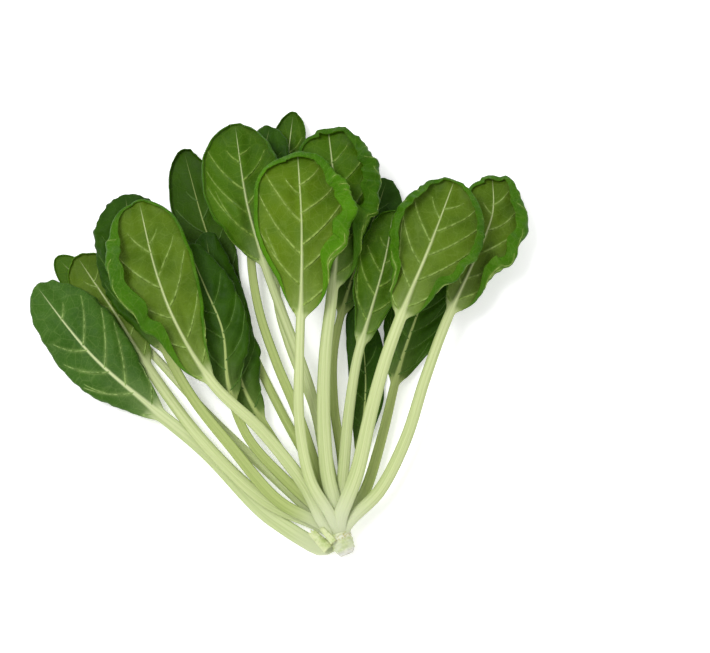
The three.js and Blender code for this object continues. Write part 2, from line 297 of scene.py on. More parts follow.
def leaf_material(finish: LeafFinish) -> bpy.types.Material:
    """Skin of a leaf from foot to tip: pale ribbed stalk with painted shade on its sides, veined and
    blistered blade.

    Args:
        finish: the leaf's colours.

    Returns:
        The material. It reads leaf_upper, leaf_blade, leaf_vein, leaf_rim, leaf_foot, leaf_up and
        leaf_flank_painted_shade, the painted shade on the stalk's sides, from the mesh, and a UV map in
        metres across and along the leaf.
    """
    book = NodeBook(finish.name)
    upper = book.attribute("leaf_upper")
    blade = book.attribute("leaf_blade")
    vein = book.attribute("leaf_vein")
    rim = book.attribute("leaf_rim")
    foot = book.attribute("leaf_foot")
    patches = book.ramp(book.noise(book.mapped("Object", (45, 45, 45)), 2.0), 0.35, 0.7)
    lifted = book.math("MULTIPLY", book.attribute("leaf_up"), 0.45)
    patches = book.math("ADD", book.math("MULTIPLY", patches, 0.55), lifted)
    speckle = book.noise(book.mapped("UV", (700, 700, 700)), 2.0)
    network = book.cells(book.mapped("UV", (420, 420, 1)))
    coarse = book.cells(book.mapped("UV", (130, 130, 1)))
    fine_vein = book.math("SUBTRACT", 1.0, book.ramp(network, 0.0, 0.09))
    mid_vein = book.math("SUBTRACT", 1.0, book.ramp(coarse, 0.0, 0.05))

    under = book.mix(patches, linear(finish.under), linear(finish.under_dark))
    top = book.mix(patches, linear(finish.upper), linear(finish.upper_dark))
    flesh = book.mix(upper, under, top)
    flesh = book.mix(book.math("MULTIPLY", rim, 0.35), flesh, linear(finish.upper))
    fine_share = book.math("MULTIPLY", fine_vein, 0.07)
    net_share = book.math("ADD", fine_share, book.math("MULTIPLY", mid_vein, 0.10))
    flesh = book.mix(net_share, flesh, linear(finish.vein))
    speckle_share = book.math("MULTIPLY", book.math("SUBTRACT", speckle, 0.5), 0.5)
    flesh = book.mix(speckle_share, flesh, linear(finish.under_dark))
    flesh = book.mix(book.math("MULTIPLY", vein, 0.45), flesh, linear(finish.vein))

    streaks = book.noise(book.mapped("UV", (900, 14, 1)), 2.0)
    ribs = book.ramp(streaks, 0.35, 0.7)
    stalk = book.mix(ribs, linear(finish.stalk), linear(finish.stalk_streak_and_shade))
    stalk = book.mix(0.62, stalk, linear(finish.stalk))
    # painted shade: the stalk's sides are darkened as if shaded by the stalk's roundness
    flank_painted_shade = book.math("MULTIPLY", book.attribute("leaf_flank_painted_shade"), 0.6)
    stalk = book.mix(flank_painted_shade, stalk, linear(finish.stalk_streak_and_shade))
    stalk = book.mix(foot, stalk, linear(finish.foot))
    book.join(book.mix(blade, stalk, flesh), book.shader.inputs["Base Color"])

    blisters = book.noise(book.mapped("UV", (170, 170, 1)), 2.0)
    relief = book.math("ADD", book.math("MULTIPLY", blisters, 0.5), book.math("MULTIPLY", net_share, 0.9))
    relief = book.math("MULTIPLY", relief, blade)
    grooves = book.math("MULTIPLY", streaks, book.math("SUBTRACT", 1.0, blade))
    height = book.math("ADD", relief, book.math("MULTIPLY", grooves, 0.12))
    book.bump(height, 0.0009, 0.9)
    book.surface(0.5, 0.09, 0.05, (0.6, 1.0, 0.3))
    return book.material


def crown_material() -> bpy.types.Material:
    """Skin of the stump: green-white sides, a paler cut end, and a rough yellowish scar with specks.

    Returns:
        The material. It reads crown_cut and crown_scar from the mesh.
    """
    book = NodeBook("crown_flesh")
    lumps = book.noise(book.mapped("Object", (240, 240, 240)), 3.0)
    flecks = book.noise(book.mapped("Object", (700, 700, 700)), 2.0)
    side = book.mix(book.ramp(lumps, 0.35, 0.7), linear("CFD6B4"), linear("B4C088"))
    cut = book.mix(book.ramp(lumps, 0.35, 0.7), linear("D8D8CC"), linear("C6C8BC"))
    scar = book.mix(book.ramp(flecks, 0.45, 0.6), linear("D6D8BE"), linear("B5AE72"))
    colour = book.mix(book.attribute("crown_scar"), side, scar)
    colour = book.mix(book.attribute("crown_cut"), colour, cut)
    speck = book.math("MULTIPLY", book.ramp(flecks, 0.66, 0.74), 0.6)
    book.join(book.mix(speck, colour, linear("84764C")), book.shader.inputs["Base Color"])
    book.bump(book.math("ADD", lumps, book.math("MULTIPLY", flecks, 0.4)), 0.0006, 0.8)
    book.surface(0.6, 0.25, 0.15, (1.2, 1.0, 0.6))
    return book.material


def flesh_material(name: str, pale: str, shade: str, brown: str, spots: float) -> bpy.types.Material:
    """Cut plant flesh: pale, dull and fibrous, with brown flecks.

    Args:
        name: the material's name.
        pale: main colour.
        shade: colour of the hollows.
        brown: colour of the flecks.
        spots: how many flecks show, 0 to 1.

    Returns:
        The material.
    """
    book = NodeBook(name)
    lumps = book.noise(book.mapped("Object", (260, 260, 260)), 4.0)
    fibre = book.noise(book.mapped("Object", (1500, 300, 1500)), 3.0)
    flecks = book.noise(book.mapped("Object", (620, 620, 620)), 2.0)
    colour = book.mix(book.ramp(lumps, 0.35, 0.7), linear(pale), linear(shade))
    colour = book.mix(book.math("MULTIPLY", book.ramp(flecks, 0.62, 0.74), spots), colour, linear(brown))
    book.join(colour, book.shader.inputs["Base Color"])
    book.bump(book.math("ADD", lumps, book.math("MULTIPLY", fibre, 0.5)), 0.0008, 0.9)
    book.surface(0.62, 0.3, 0.15, (1.2, 1.0, 0.6))
    return book.material


# ---------------------------------------------------------------- meshes

def make_mesh(name: str, points: np.ndarray, faces: list, material: bpy.types.Material) -> bpy.types.Object:
    """Makes a smooth mesh object at the origin.

    Args:
        name: the piece's name.
        points: corners in metres, one row each.
        faces: corner numbers of each face.
        material: its finish.

    Returns:
        The object, linked to the scene.
    """
    mesh = bpy.data.meshes.new(name)
    mesh.from_pydata(points.tolist(), [], faces)
    mesh.polygons.foreach_set("use_smooth", [True] * len(mesh.polygons))
    mesh.materials.append(material)
    mesh.update()
    made = bpy.data.objects.new(name, mesh)
    bpy.context.scene.collection.objects.link(made)
    return made


def set_numbers(made: bpy.types.Object, name: str, values: np.ndarray) -> None:
    """Stores one number per corner on a mesh."""
    layer = made.data.attributes.new(name, "FLOAT", "POINT")
    layer.data.foreach_set("value", np.asarray(values, dtype=np.float32).ravel())


def smooth(value: np.ndarray, low: float, high: float) -> np.ndarray:
    """Smooth step from 0 at low to 1 at high."""
    share = np.clip((value - low) / (high - low), 0.0, 1.0)
    return share * share * (3.0 - 2.0 * share)


def tube_faces(rows: int, ring: int) -> list[tuple[int, ...]]:
    """Quads between a tube's rings, with triangles round a foot point and a tip point.

    Args:
        rows: how many rings there are; the foot point and the tip point come after them.
        ring: how many points each ring has.

    Returns:
        The faces, as point numbers.
    """
    faces: list[tuple[int, ...]] = []
    last = (rows - 1) * ring
    foot, tip = rows * ring, rows * ring + 1
    for corner in range(ring):
        after = (corner + 1) % ring
        faces.append((foot, after, corner))
        for start in range(0, last, ring):
            faces.append((start + corner, start + after, start + ring + after, start + ring + corner))
        faces.append((tip, last + corner, last + after))
    return faces


class Ripple:
    """Smooth seeded noise over a flat sheet: a sum of waves in random directions."""

    def __init__(self, seed: int, length: float, waves: int = 14) -> None:
        """Draws the waves.

        Args:
            seed: the random seed.
            length: mean wavelength, in millimetres.
            waves: how many waves are summed.
        """
        source = np.random.default_rng(seed)
        angle = source.uniform(0, 2 * math.pi, waves)
        number = 2 * math.pi / (length * source.uniform(0.7, 1.6, waves))
        self.along = number * np.cos(angle)
        self.across = number * np.sin(angle)
        self.phase = source.uniform(0, 2 * math.pi, waves)

    def at(self, first: np.ndarray, second: np.ndarray) -> np.ndarray:
        """Adds up the waves.

        Args:
            first: one coordinate of each place, in millimetres.
            second: the other coordinate.

        Returns:
            Height at each place, mostly within -1 to 1.
        """
        total = np.zeros(np.shape(first))
        for along, across, phase in zip(self.along, self.across, self.phase):
            total += np.sin(along * first + across * second + phase)
        return total * math.sqrt(2.0 / len(self.phase)) * 0.6


# ---------------------------------------------------------------- the leaves

@dataclass(frozen=True)
class LeafPlan:
    """One leaf: the path it follows and its blade's shape, in millimetres, degrees, radians and shares."""

    name: str
    heading: float
    tier: int
    face: Face
    way: tuple[tuple[float, float, float], ...]
    stalk: float
    spread: tuple[float, float]
    rim: tuple[float, float, float]
    cup: float
    broadest: tuple[float, float]
    stem: float
    finish: LeafFinish
    fold: float = 2.7
    ruffle: float = 0.9
    blister: float = 0.5
    veins: int = 6
    seed: int = 1
    wave: float = 1.0


UP = Face.UNDERSIDE_UP
DOWN = Face.UPPER_SIDE_UP
PLANS = (
    LeafPlan("outer_left_leaf", -112, 0, DOWN,
             ((-31, 5, 3), (-48, 18, 3), (-79, 50, 4.2), (-113, 77, 12.5), (-148, 107, 18), (-183, 150, 18)),
             0.5, (20.5, 27), (3, 4, 3), 0.15, (0.55, 0.62), 1.2, PAINTED_SHEEN, 1.2, 0.7, 0.35, 5, 11),
    LeafPlan("low_left_leaf", -62, 1, UP,
             ((-44, 21, 9), (-79, 54, 11.5), (-111, 96, 7), (-135, 134, 4.5), (-161, 172, 4.5)),
             0.62, (18, 23), (2, 5, 4), 0.0, (0.6, 0.6), 1.0, OLIVE, 1.6, 0.5, 0.3, 5, 12, 0.15),
    LeafPlan("under_left_leaf", -48, 0, UP,
             ((-37, 34, 1.5), (-76, 71, 1.5), (-114, 112, 1.5), (-144, 143, 1.5), (-174, 172, 1.5)),
             0.66, (12, 12), (1.5, 1.5, 2), 0.0, (0.6, 0.6), 0.75, DEEP, 1.2, 0.1, 0.05, 5, 13, 0.05),
    LeafPlan("back_left_leaf", -60, 2, DOWN,
             ((-36, 20, 15), (-62, 50, 17), (-88, 83, 18), (-108, 121, 20), (-122, 163, 22), (-130, 207, 21)),
             0.56, (26, 27), (4, 4, 3), 0.25, (0.62, 0.62), 0.9, SHADED, 1.2, 1.0, 0.9, 5, 14),
    LeafPlan("top_left_leaf", -46, 3, UP,
             ((-20, 29, 20), (-44, 58, 29), (-71, 83, 36), (-91, 113, 41), (-106, 148, 44), (-119, 197, 41)),
             0.44, (41, 26), (16, 3, 3), 0.12, (0.66, 0.64), 1.0, OLIVE, 2.8, 0.9, 0.45, 5, 15),
    LeafPlan("dark_left_leaf", -34, 2, DOWN,
             ((-28, 29, 15), (-52, 55, 20), (-64, 85, 24), (-68, 118, 28), (-79, 145, 30), (-91, 173, 30)),
             0.45, (19, 20), (4, 5, 3), 0.45, (0.55, 0.55), 0.8, SHADED, 1.4, 0.9, 0.8, 5, 16, 0.5),
    LeafPlan("inner_left_leaf", -40, 1, DOWN,
             ((-22, 32, 8), (-41, 61, 11), (-56, 87, 14), (-65, 119, 17), (-74, 149, 18), (-81, 184, 18)),
             0.34, (19, 21), (4, 5, 3), 0.75, (0.55, 0.55), 0.8, SHADED, 1.4, 0.7, 0.5, 5, 17, 0.4),
    LeafPlan("curled_left_leaf", -28, 0, UP,
             ((-17, 43, 2), (-33, 73, 2), (-50, 108, 2), (-65, 148, 2), (-82, 190, 3), (-97, 242, 4)),
             0.5, (20, 18), (4, 4, 5), 0.1, (0.62, 0.62), 0.75, SHADED, 1.8, 0.5, 0.3, 5, 18, 0.3),
    LeafPlan("upper_left_leaf", 2, 1, UP,
             ((-5, 41, 9), (-12, 71, 12), (-21, 100, 17), (-33, 131, 23), (-45, 164, 28), (-55, 199, 32),
              (-63, 249, 31)),
             0.62, (27, 27), (3, 5, 3), 0.12, (0.58, 0.58), 0.85, DEEP, 2.2, 0.9, 0.4, 5, 19),
    LeafPlan("back_middle_leaf", -20, 1, DOWN,
             ((-14, 44, 8), (-24, 73, 9), (-37, 104, 10), (-48, 137, 12), (-53, 173, 14), (-50, 212, 16),
              (-42, 253, 16)),
             0.7, (18, 18), (3, 3, 3), 0.2, (0.6, 0.6), 0.8, SHADED, 1.2, 0.9, 0.7, 5, 20),
    LeafPlan("far_middle_leaf", -8, 0, UP,
             ((-7, 42, 2), (-14, 77, 2), (-28, 112, 2), (-37, 144, 3), (-38, 182, 4), (-33, 221, 5),
              (-28, 266, 6)),
             0.74, (13, 13), (3, 3, 2), 0.1, (0.62, 0.62), 0.75, DEEP, 1.8, 0.6, 0.5, 5, 21),
    LeafPlan("front_middle_leaf", -22, 4, UP,
             ((-16, 31, 26), (-22, 64, 31), (-22, 101, 38), (-21, 139, 44), (-21, 178, 48), (-24, 226, 45)),
             0.52, (31.5, 46), (4, 17, 9), 0.12, (0.62, 0.62), 0.85, BRIGHT, 2.85, 1.0, 0.4, 5, 22),
    LeafPlan("middle_right_leaf", -2, 3, UP,
             ((-6, 37, 18), (-8, 71, 21), (-7, 106, 25), (-3, 142, 30), (0, 185, 34), (-6, 246, 33)),
             0.55, (25, 43), (3, 18, 9), 0.12, (0.64, 0.64), 1.1, DEEP, 2.85, 1.1, 0.5, 5, 23),
    LeafPlan("back_right_leaf", 12, 0, DOWN,
             ((3, 43, 4), (-2, 78, 6), (-2, 112, 8), (6, 147, 10), (18, 181, 11), (31, 221, 10)),
             0.55, (19, 20), (3, 3, 3), 0.1, (0.6, 0.6), 0.75, SHADED, 1.4, 0.8, 0.6, 5, 24, 0.4),
    LeafPlan("slim_right_leaf", 8, 2, UP,
             ((4, 40, 14), (7, 72, 16), (12, 104, 19), (21, 135, 22), (29, 165, 24), (34, 196, 23)),
             0.52, (19, 18), (4, 4, 3), 0.1, (0.6, 0.6), 0.9, DEEP, 1.8, 0.7, 0.4, 5, 25),
    LeafPlan("heart_leaf", 34, 0, DOWN,
             ((12, 40, 3.4), (15, 63, 5), (17, 91, 6), (15, 118, 7), (9, 140, 7)),
             0.25, (12, 14), (2, 2, 2), 0.4, (0.6, 0.6), 0.65, SHADED, 1.4, 0.4, 0.2, 5, 26, 0.2),
    LeafPlan("top_right_leaf", 14, 4, UP,
             ((12, 35, 26), (20, 69, 31), (29, 101, 35), (41, 133, 39), (55, 167, 41), (71, 211, 37)),
             0.55, (34, 36), (10, 9, 5), 0.12, (0.6, 0.6), 1.1, OLIVE, 2.7, 1.2, 0.45, 5, 27),
    LeafPlan("outer_right_leaf", 46, 3, UP,
             ((26, 26, 17), (41, 56, 19), (52, 90, 22), (65, 125, 24), (81, 160, 23), (94, 192, 21),
              (95, 221, 17)),
             0.58, (24, 34), (4, 14, 8), 0.12, (0.6, 0.6), 0.95, OLIVE, 2.8, 1.1, 0.5, 5, 28),
    LeafPlan("low_right_leaf", 36, 1, DOWN,
             ((18, 29, 9), (28, 63, 9), (36, 96, 8), (46, 127, 7), (57, 156, 6), (66, 184, 5)),
             0.45, (20, 20), (2, 2, 2), 0.2, (0.55, 0.55), 0.85, SHADED, 1.4, 0.8, 0.6, 6, 29),
)


class Midrib:
    """The smooth line that a leaf's stalk and midrib follow, with its side and up directions."""

    SAMPLES = 900

    def __init__(self, points: np.ndarray) -> None:
        """Samples a Catmull-Rom curve and adds the bend at its foot.

        Args:
            points: what the curve goes through, in millimetres.
        """
        ends = np.vstack([2 * points[0] - points[1], points, 2 * points[-1] - points[-2]])
        spans = len(points) - 1
        share = np.linspace(0, spans, self.SAMPLES)
        span = np.minimum(share.astype(int), spans - 1)
        t = (share - span)[:, None]
        before, start, end, after = (ends[span + k] for k in range(4))
        first, last = 0.5 * (end - before), 0.5 * (after - start)
        line = ((2 * start - 2 * end + first + last) * t ** 3
                + (-3 * start + 3 * end - 2 * first - last) * t ** 2 + first * t + start)
        steps = np.linalg.norm(np.diff(line, axis=0), axis=1)
        self.distance = np.concatenate([[0.0], np.cumsum(steps)])
        self.length = float(self.distance[-1])
        self.line = line
        self._set_directions()
        self._run_into_crown()

    def _set_directions(self) -> None:
        """Works out forward, right and up at every sample of the line."""
        forward = np.gradient(self.line, self.distance, axis=0)
        forward /= np.linalg.norm(forward, axis=1)[:, None]
        right = np.stack([forward[:, 1], -forward[:, 0], np.zeros(len(forward))], axis=1)
        right /= np.linalg.norm(right, axis=1)[:, None]
        self.forward = forward
        self.right = right
        self.up = np.cross(right, forward)

    def _run_into_crown(self) -> None:
        """Adds a bend at the foot that ends inside the crown, at distances below zero."""
        foot = self.line[0]
        core = np.array(STALK.core)
        core[2] += STALK.core_spread * (foot[2] - core[2])
        bend = foot - self.forward[0] * 0.5 * np.linalg.norm(core - foot)
        t = np.linspace(1, 0, 30, endpoint=False)[:, None]
        extra = (1 - t) ** 2 * foot + 2 * t * (1 - t) * bend + t ** 2 * core
        steps = np.linalg.norm(np.diff(np.vstack([extra, foot]), axis=0), axis=1)
        self.before = float(steps.sum())
        self.distance = np.concatenate([np.cumsum(steps) - steps - self.before, self.distance])
        self.line = np.vstack([extra, self.line])
        self._set_directions()

    def at(self, along: np.ndarray) -> tuple[np.ndarray, np.ndarray, np.ndarray]:
        """Place, right and up at distances along the line; it runs on straight past its ends.

        Args:
            along: distances in millimetres.

        Returns:
            Three arrays of one row for each distance.
        """
        def read(table: np.ndarray) -> np.ndarray:
            """Reads one of the line's tables at those distances."""
            return np.stack([np.interp(along, self.distance, table[:, k]) for k in range(3)], axis=-1)

        past = along - np.clip(along, -self.before, self.length)
        place = read(self.line) + read(self.forward) * past[..., None]
        return place, read(self.right), read(self.up)


@dataclass
class Leaf:
    """Builds one leaf: a closed skin from foot to tip, and the raised veins on both faces."""

    plan: LeafPlan
    shift: np.ndarray
    material: bpy.types.Material
    vein_material: bpy.types.Material
    midrib: Midrib = field(init=False)
    stalk_end: float = field(init=False)
    length: float = field(init=False)
    blade_length: float = field(init=False)
    low: Ripple = field(init=False)
    lumps: Ripple = field(init=False)
    ruffles: Ripple = field(init=False)
    crinkle: Ripple = field(init=False)
    outline: dict[str, np.ndarray] = field(init=False)
    vein_lines: list[tuple[np.ndarray, np.ndarray, np.ndarray]] = field(init=False)

    def __post_init__(self) -> None:
        """Lays the midrib and the outline of the opened blade."""
        plan = self.plan
        heading = math.radians(plan.heading)
        reach = STALK.reach[plan.tier]
        thickness = STALK.channel if plan.face is Face.UNDERSIDE_UP else STALK.keel
        height = STALK.tier_height[plan.tier] + thickness
        foot = (reach * math.sin(heading), reach * math.cos(heading), height)
        self.midrib = Midrib(np.array([foot, *plan.way], dtype=float))
        self.stalk_end = plan.stalk * self.midrib.length
        self.length = self.midrib.length + max(0.0, 0.5 * plan.rim[2] - 1.2)
        self.blade_length = self.length - self.stalk_end
        self.low = Ripple(plan.seed, 46 if plan.cup < 0.5 else 30)
        self.lumps = Ripple(plan.seed + 100, 13, 22)
        self.ruffles = Ripple(plan.seed + 200, 20)
        self.crinkle = Ripple(plan.seed + 300, 6.5, 18)
        self.outline = self._outline()
        self.vein_lines = self._vein_lines()

    # ---- flat shape

    def _widths(self, along: np.ndarray, side: int) -> tuple[np.ndarray, np.ndarray, np.ndarray]:
        """Half-widths of the midrib and of the leaf on one side, and how far the blade has opened.

        Args:
            along: distances along the midrib, in millimetres.
            side: 0 for left, 1 for right.

        Returns:
            Midrib half-width, leaf half-width and opening from 0 to 1.
        """
        plan = self.plan
        stem = STALK.half_width * plan.stem
        up = np.clip(along / self.stalk_end, 0, 1)
        foot = (1 - STALK.foot_share) * (1 - up) ** STALK.foot_taper
        stalk = stem * (1 - foot) * (1 - (1 - STALK.end_share) * up)
        blade = np.clip((along - self.stalk_end) / self.blade_length, 0, 1)
        rib = np.where(blade > 0, STALK.end_share * stem * (1 - blade) ** BLADE.midrib_end, stalk)
        broadest = plan.broadest[side]
        base = BLADE.tip_roundness * broadest / (1 - broadest)
        top = broadest ** base * (1 - broadest) ** BLADE.tip_roundness
        shape = plan.spread[side] * blade ** base * (1 - blade) ** BLADE.tip_roundness / top
        shape = shape * np.clip(blade / BLADE.base_round, 0, 1) ** BLADE.base_slim
        edge = (rib ** 4 + shape ** 4) ** 0.25
        opened = np.clip((edge / np.maximum(rib, 0.01) - 1) / BLADE.opening, 0, 1)
        return rib, edge, opened

    def _outline(self) -> dict[str, np.ndarray]:
        """Traces the edge of the opened blade as a dense line.

        Returns:
            The edge, its rolled width, its running length, and its tangents and normals.
        """
        turn = np.linspace(0, 1, 260)
        along = self.stalk_end + self.blade_length * (1 - (1 - turn) ** 2)
        plan = self.plan
        left = self._widths(along, 0)[1]
        right = self._widths(along, 1)[1]
        side = np.concatenate([-left, right[::-1][1:]])
        way = np.concatenate([along, along[::-1][1:]])
        share = np.concatenate([turn, turn[::-1][1:]])
        half = np.concatenate([left, right[::-1][1:]])
        towards_tip = smooth(share, 0.62, 0.93)
        ours = np.where(side < 0, plan.rim[0], plan.rim[1])
        band = ours + (plan.rim[2] - ours) * towards_tip
        step = np.hypot(np.diff(side, prepend=side[0]), np.diff(way, prepend=way[0]))
        run = np.cumsum(step)
        tangent = np.stack([np.gradient(side), np.gradient(way)], axis=1)
        kernel = np.hanning(9) / np.hanning(9).sum()
        padded = np.pad(tangent, ((4, 4), (0, 0)), mode="edge")
        tangent = np.stack([np.convolve(padded[:, k], kernel, mode="valid") for k in (0, 1)], axis=1)
        tangent /= np.maximum(np.linalg.norm(tangent, axis=1), 1e-9)[:, None]
        normal = np.stack([-tangent[:, 1], tangent[:, 0]], axis=1)
        band = band * (1 + 0.12 * self.ruffles.at(run, np.zeros(len(run))))
        band = np.minimum(band, 0.6 * np.maximum(half, 4.0 * towards_tip * plan.rim[2] / 3))
        band = band * smooth(share, 0.02, 0.14)
        edge = np.stack([side, way], axis=1)
        return {"edge": edge, "band": band, "run": run, "tangent": tangent, "normal": normal}

    def _nearest(self, side: np.ndarray, way: np.ndarray) -> tuple[np.ndarray, ...]:
        """Finds the nearest place on the blade's edge for each flat point.

        Args:
            side: distance to the right of the midrib, in millimetres.
            way: distance along it.

        Returns:
            Distance to the edge, direction towards it, the rolled width there and the place on it.
        """
        flat = np.stack([side.ravel(), way.ravel()], axis=1)
        edge, tangent, run = self.outline["edge"], self.outline["tangent"], self.outline["run"]
        best = np.empty(len(flat), dtype=int)
        for start in range(0, len(flat), 4000):
            part = flat[start:start + 4000]
            gap = (part[:, None, 0] - edge[None, :, 0]) ** 2 + (part[:, None, 1] - edge[None, :, 1]) ** 2
            best[start:start + 4000] = gap.argmin(axis=1)
        slide = np.sum((flat - edge[best]) * tangent[best], axis=1)
        place = np.clip(run[best] + slide, run[0], run[-1])
        near = np.stack([np.interp(place, run, edge[:, k]) for k in (0, 1)], axis=1)
        direction = np.stack([np.interp(place, run, self.outline["normal"][:, k]) for k in (0, 1)], axis=1)
        direction /= np.maximum(np.linalg.norm(direction, axis=1), 1e-9)[:, None]
        distance = np.linalg.norm(near - flat, axis=1)
        band = np.interp(place, run, self.outline["band"])
        shape = side.shape
        direction = direction.reshape(*shape, 2)
        return distance.reshape(shape), direction, band.reshape(shape), place.reshape(shape)

    # ---- folding into space

    def relief(self, side: np.ndarray, way: np.ndarray, distance: np.ndarray, run: np.ndarray) -> np.ndarray:
        """Adds up the blade's waves, ruffles, blisters and quilting.

        Args:
            side: distance to the right of the midrib, in millimetres.
            way: distance along it.
            distance: how far in from the edge each point lies.
            run: the nearest place along the edge.

        Returns:
            Height towards the underside, in millimetres.
        """
        plan = self.plan
        blade = smooth(way, self.stalk_end, self.stalk_end + 0.2 * self.blade_length)
        inner = smooth(distance, 0.5, 7.0)
        off_rib = smooth(np.abs(side), 1.0, 7.0)
        waves = plan.wave * (2.5 + 1.5 * plan.cup) * self.low.at(side, way) * off_rib
        edge_wave = plan.ruffle * 0.7 * self.ruffles.at(run, 0.4 * distance) * np.exp(-distance / 7.0)
        lumps = -plan.blister * (0.55 + self.lumps.at(side, way)) * inner * off_rib
        crinkle = 0.45 * plan.ruffle * self.crinkle.at(run, 0.25 * distance) * np.exp(-distance / 5.0)
        quilt = 2.2 * plan.blister * self.vein_mask(side, way, 2.0) * off_rib
        return (waves + edge_wave + lumps + crinkle + quilt) * blade

    def place(self, side: np.ndarray, way: np.ndarray, height: np.ndarray) -> tuple[np.ndarray, np.ndarray]:
        """Carries points of the flat leaf to their places on the finished one.

        Args:
            side: distance to the right of the midrib, in millimetres.
            way: distance along it.
            height: distance from the sheet's middle towards the underside.

        Returns:
            Places in millimetres, and how far in from the fold each point lies, 0 to 1.
        """
        plan = self.plan
        distance, direction, band, run = self._nearest(side, way)
        on_blade = way > self.stalk_end
        distance = np.where(on_blade, distance, FAR_INSIDE)
        beyond = np.clip(band - distance, 0, None) * on_blade
        on_flap = np.clip(beyond / 3.0, 0, 1)
        height = height + 0.5 * plan.ruffle * on_flap * self.crinkle.at(run, 0.35 * distance)
        turn_length = np.maximum(BLADE.fold_share * band, 1e-3)
        fold = plan.fold - 0.13 * (1 + self.ruffles.at(run, 0 * run)) * plan.ruffle
        radius = turn_length / fold
        angle = np.minimum(beyond / radius, fold)
        straight = np.clip(beyond - turn_length, 0, None)
        out = radius * np.sin(angle) + straight * np.cos(fold) - height * np.sin(angle)
        rise = radius * (1 - np.cos(angle)) + straight * np.sin(fold) + height * np.cos(angle)
        out = np.where(beyond > 0, out - beyond, 0.0)
        rise = np.where(beyond > 0, rise, height)
        inward = np.where(on_blade, np.clip(distance - out, 0, None), FAR_INSIDE)
        out = out + 0.3 * plan.ruffle * self.ruffles.at(run + 40.0, 0 * run) * np.exp(-inward / 5.0) * smooth(
            way, self.stalk_end, self.stalk_end + 0.25 * self.blade_length)
        folded_side = side + direction[..., 0] * out
        folded_way = way + direction[..., 1] * out
        rise = rise + self.relief(folded_side, folded_way, inward, run)
        middle, right, up = self.midrib.at(folded_way)
        keel = up * plan.face.value
        half = np.where(side < 0, self._widths(way, 0)[1], self._widths(way, 1)[1])
        opened = smooth(half, 6.0, 14.0)
        bend = plan.cup * opened / np.maximum(half, 1.0)
        turn = bend * folded_side
        small = np.abs(bend) < 1e-6
        safe = np.where(small, 1.0, bend)
        across = np.where(small, folded_side, np.sin(turn) / safe)
        lift = np.where(small, 0.0, (1 - np.cos(turn)) / safe)
        point = (middle + right * (across - rise * np.sin(turn))[..., None]
                 + keel * (lift + rise * np.cos(turn))[..., None])
        low = BLADE.over_table
        tall = point[..., 2]
        soft = low * np.exp((np.minimum(tall, low) - low) / low)
        point[..., 2] = np.where(tall < low, soft, tall)
        return point, np.clip(beyond / np.maximum(band, 1e-3), 0, 1)

    # ---- veins

    def _vein_lines(self) -> list[tuple[np.ndarray, np.ndarray, np.ndarray]]:
        """Draws the side veins of the flat blade, some of them with a fork.

        Returns:
            For each line, distances across and along and half-widths, in millimetres.
        """
        plan = self.plan
        source = np.random.default_rng(plan.seed + 500)
        lines = []
        for side in (0, 1):
            sign = -1 if side == 0 else 1
            for number in range(plan.veins):
                share = (number + 0.25 + 0.35 * side) / plan.veins * 0.82 + source.uniform(-0.015, 0.015)
                start = self.stalk_end + share * self.blade_length
                sample = min(start + 0.3 * self.blade_length, self.length - 2)
                reach = self._widths(np.array([sample]), side)[1][0]
                target = 0.84 * reach * source.uniform(0.92, 1.04)
                climb = min(1.45 * target * source.uniform(0.8, 1.1), 0.93 * self.length - start)
                if climb < 3 or target < 5:
                    continue
                t = np.linspace(0, 1, 22)
                across = target * (1.25 * t - 0.25 * t ** 2)
                rise = climb * (0.7 * t + 0.3 * t ** 2)
                width = BLADE.vein_width * (1.1 - 0.7 * t) * (0.8 + 0.4 * (1 - share))
                lines.append(self._trimmed(sign, across, start + rise, width))
                if share > 0.4 or number % 2 == side:
                    continue
                branch = int(10 + source.integers(0, 4))
                s = np.linspace(0, 1, 12)
                fork_side = across[branch] + 0.42 * target * s * (1 - 0.35 * s)
                fork_rise = rise[branch] + (0.5 * climb + 3) * s ** 0.85 * source.uniform(0.9, 1.3)
                lines.append(self._trimmed(sign, fork_side, start + fork_rise, width[branch] * (1 - 0.7 * s)))
        return lines

    def _trimmed(self, sign: int, across: np.ndarray, along: np.ndarray,
                 width: np.ndarray) -> tuple[np.ndarray, np.ndarray, np.ndarray]:
        """Cuts a vein where it comes near the leaf's edge.

        Args:
            sign: -1 on the left, 1 on the right.
            across: distances from the midrib, in millimetres.
            along: distances along it.
            width: the vein's half-widths.

        Returns:
            The line's signed distances across and along, and its half-widths.
        """
        half = self._widths(np.minimum(along, self.length - 1), 0 if sign < 0 else 1)[1]
        past = np.nonzero(across > 0.87 * half)[0]
        past = past[past > 3]
        stop = int(past[0]) if len(past) else len(across)
        return sign * across[:stop], along[:stop], width[:stop]

    def vein_mask(self, side: np.ndarray, way: np.ndarray, spread: float = 0.15) -> np.ndarray:
        """How much each flat point belongs to a side vein.

        Args:
            side: distance to the right of the midrib, in millimetres.
            way: distance along it.
            spread: how far the mask reaches past the vein itself.

        Returns:
            The share, 0 to 1.
        """
        mask = np.zeros(side.size)
        flat_side, flat_way = side.ravel(), way.ravel()
        for across, along, width in self.vein_lines:
            reach = 1.5 + 2 * spread
            near = ((flat_side > across.min() - reach) & (flat_side < across.max() + reach)
                    & (flat_way > along.min() - reach) & (flat_way < along.max() + reach))
            index = np.nonzero(near)[0]
            if not len(index):
                continue
            dense = np.linspace(0, len(across) - 1, 60)
            line_side = np.interp(dense, np.arange(len(across)), across)
            line_way = np.interp(dense, np.arange(len(along)), along)
            half = np.interp(dense, np.arange(len(width)), width)
            gap = np.hypot(flat_side[index, None] - line_side, flat_way[index, None] - line_way)
            score = np.exp(-(gap / (half + spread)) ** 2) * np.clip(half / 0.6, 0.25, 1)
            mask[index] = np.maximum(mask[index], score.max(axis=1))
        return mask.reshape(side.shape)

